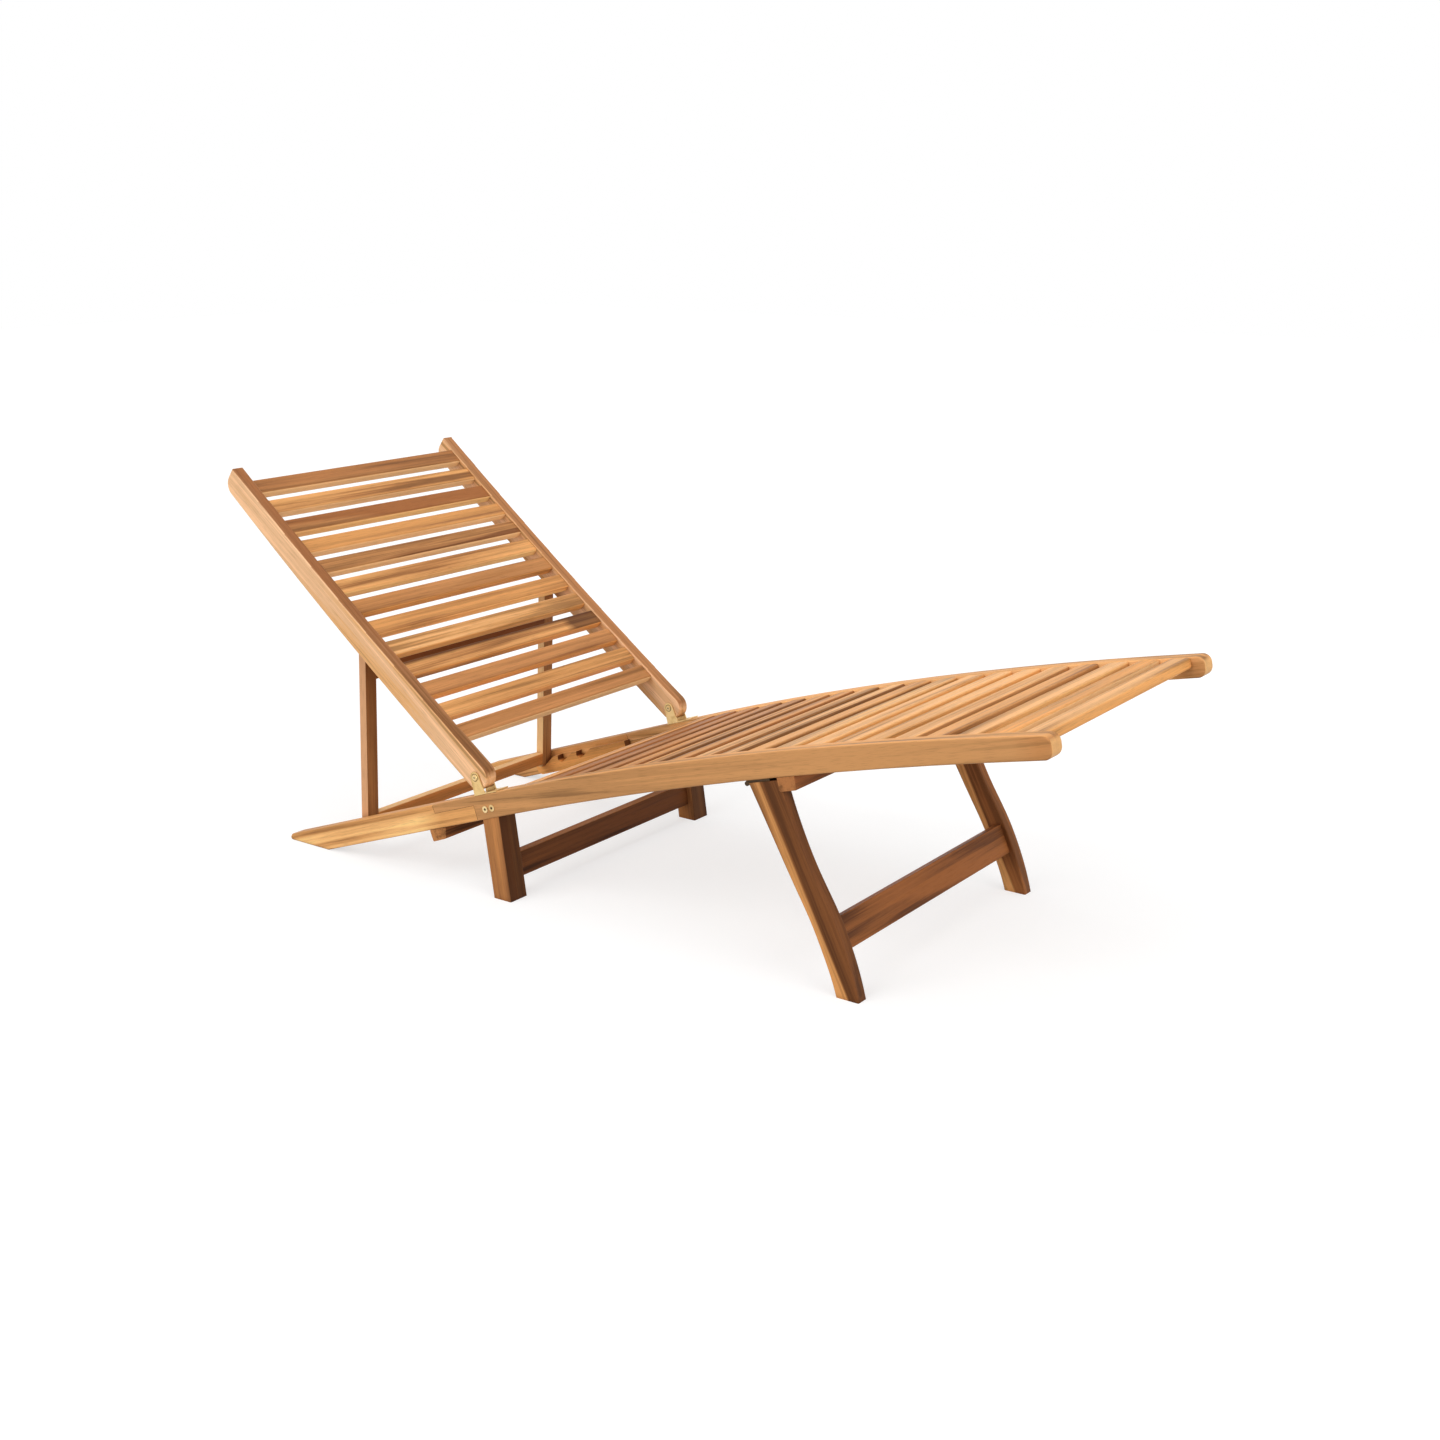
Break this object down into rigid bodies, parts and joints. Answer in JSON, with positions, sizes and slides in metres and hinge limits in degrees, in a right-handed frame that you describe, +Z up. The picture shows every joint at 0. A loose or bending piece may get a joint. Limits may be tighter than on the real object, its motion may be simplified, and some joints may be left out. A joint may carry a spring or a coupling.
{
  "type": "slatted wooden lounge chair",
  "caption": "Long slatted wooden recliner with an arched seat, a back on brass brackets held by a prop frame in notched cleats, and sabre legs that fold under the seat.",
  "frame": {"origin": "middle of the bounding box, on the floor", "axes": "+X toward the sitter's feet, +Y the sitter's left, +Z up"},
  "size_m": [1.7298, 0.6028, 0.72],
  "materials": {
    "rail_wood": "oiled golden hardwood, satin",
    "slat_wood": "oiled golden hardwood, satin, mixed tones",
    "dark_wood": "oiled brown hardwood, satin",
    "brass": "plain pale brass, satin"
  },
  "bodies": {
    "frame": {"back_bracket_left": "brass", "back_bracket_right": "brass", "back_pivot_pin_left": "brass", "back_pivot_pin_right": "brass", "leg_hinge_rail_leaves": "brass", "leg_stop_rail": "dark_wood", "ratchet_cleat_left": "rail_wood", "ratchet_cleat_right": "rail_wood", "rear_cross_rail": "dark_wood", "rear_leg_bolts": "brass", "rear_leg_left": "rail_wood", "rear_leg_right": "rail_wood", "rear_leg_stretcher": "dark_wood", "rear_rail_left": "rail_wood", "rear_rail_right": "rail_wood", "seat_rail_left": "rail_wood", "seat_rail_right": "rail_wood", "seat_slat_01": "slat_wood", "seat_slat_02": "slat_wood", "seat_slat_03": "slat_wood", "seat_slat_04": "slat_wood", "seat_slat_05": "slat_wood", "seat_slat_06": "slat_wood", "seat_slat_07": "slat_wood", "seat_slat_08": "slat_wood", "seat_slat_09": "slat_wood", "seat_slat_10": "slat_wood", "seat_slat_11": "slat_wood", "seat_slat_12": "slat_wood", "seat_slat_13": "slat_wood", "seat_slat_14": "slat_wood", "seat_slat_15": "slat_wood", "seat_slat_16": "slat_wood", "seat_slat_17": "slat_wood", "seat_slat_18": "slat_wood", "seat_slat_19": "slat_wood"},
    "backrest": {"back_rail_left": "rail_wood", "back_rail_right": "rail_wood", "back_slat_01": "slat_wood", "back_slat_02": "slat_wood", "back_slat_03": "slat_wood", "back_slat_04": "slat_wood", "back_slat_05": "slat_wood", "back_slat_06": "slat_wood", "back_slat_07": "slat_wood", "back_slat_08": "slat_wood", "back_slat_09": "slat_wood", "back_slat_10": "slat_wood", "back_slat_11": "slat_wood", "back_slat_12": "slat_wood", "back_slat_13": "slat_wood", "prop_pivot_bolts": "brass"},
    "prop_frame": {"prop_left": "dark_wood", "prop_right": "dark_wood", "prop_foot_bar": "dark_wood", "prop_cross_rail": "dark_wood"},
    "front_legs": {"front_leg_left": "dark_wood", "front_leg_right": "dark_wood", "front_leg_stretcher": "dark_wood", "leg_hinge_leg_leaves": "brass"}
  },
  "joints": [
    {"name": "backrest_recline", "type": "hinge", "parent": "frame", "child": "backrest", "pos_m": [-0.24693, 0, 0.22099], "axis": [0, 1, 0], "range_deg": [0, 48]},
    {"name": "prop_swing", "type": "hinge", "parent": "backrest", "child": "prop_frame", "pos_m": [-0.55286, 0, 0.44301], "axis": [0, 1, 0], "range_deg": [-48, 0]},
    {"name": "front_leg_fold", "type": "hinge", "parent": "frame", "child": "front_legs", "pos_m": [0.34145, 0, 0.32076], "axis": [0, 1, 0], "range_deg": [0, 98]}
  ],
  "couplings": [
    {"joint": "prop_swing", "follows": "backrest_recline", "ratio": -1}
  ]
}
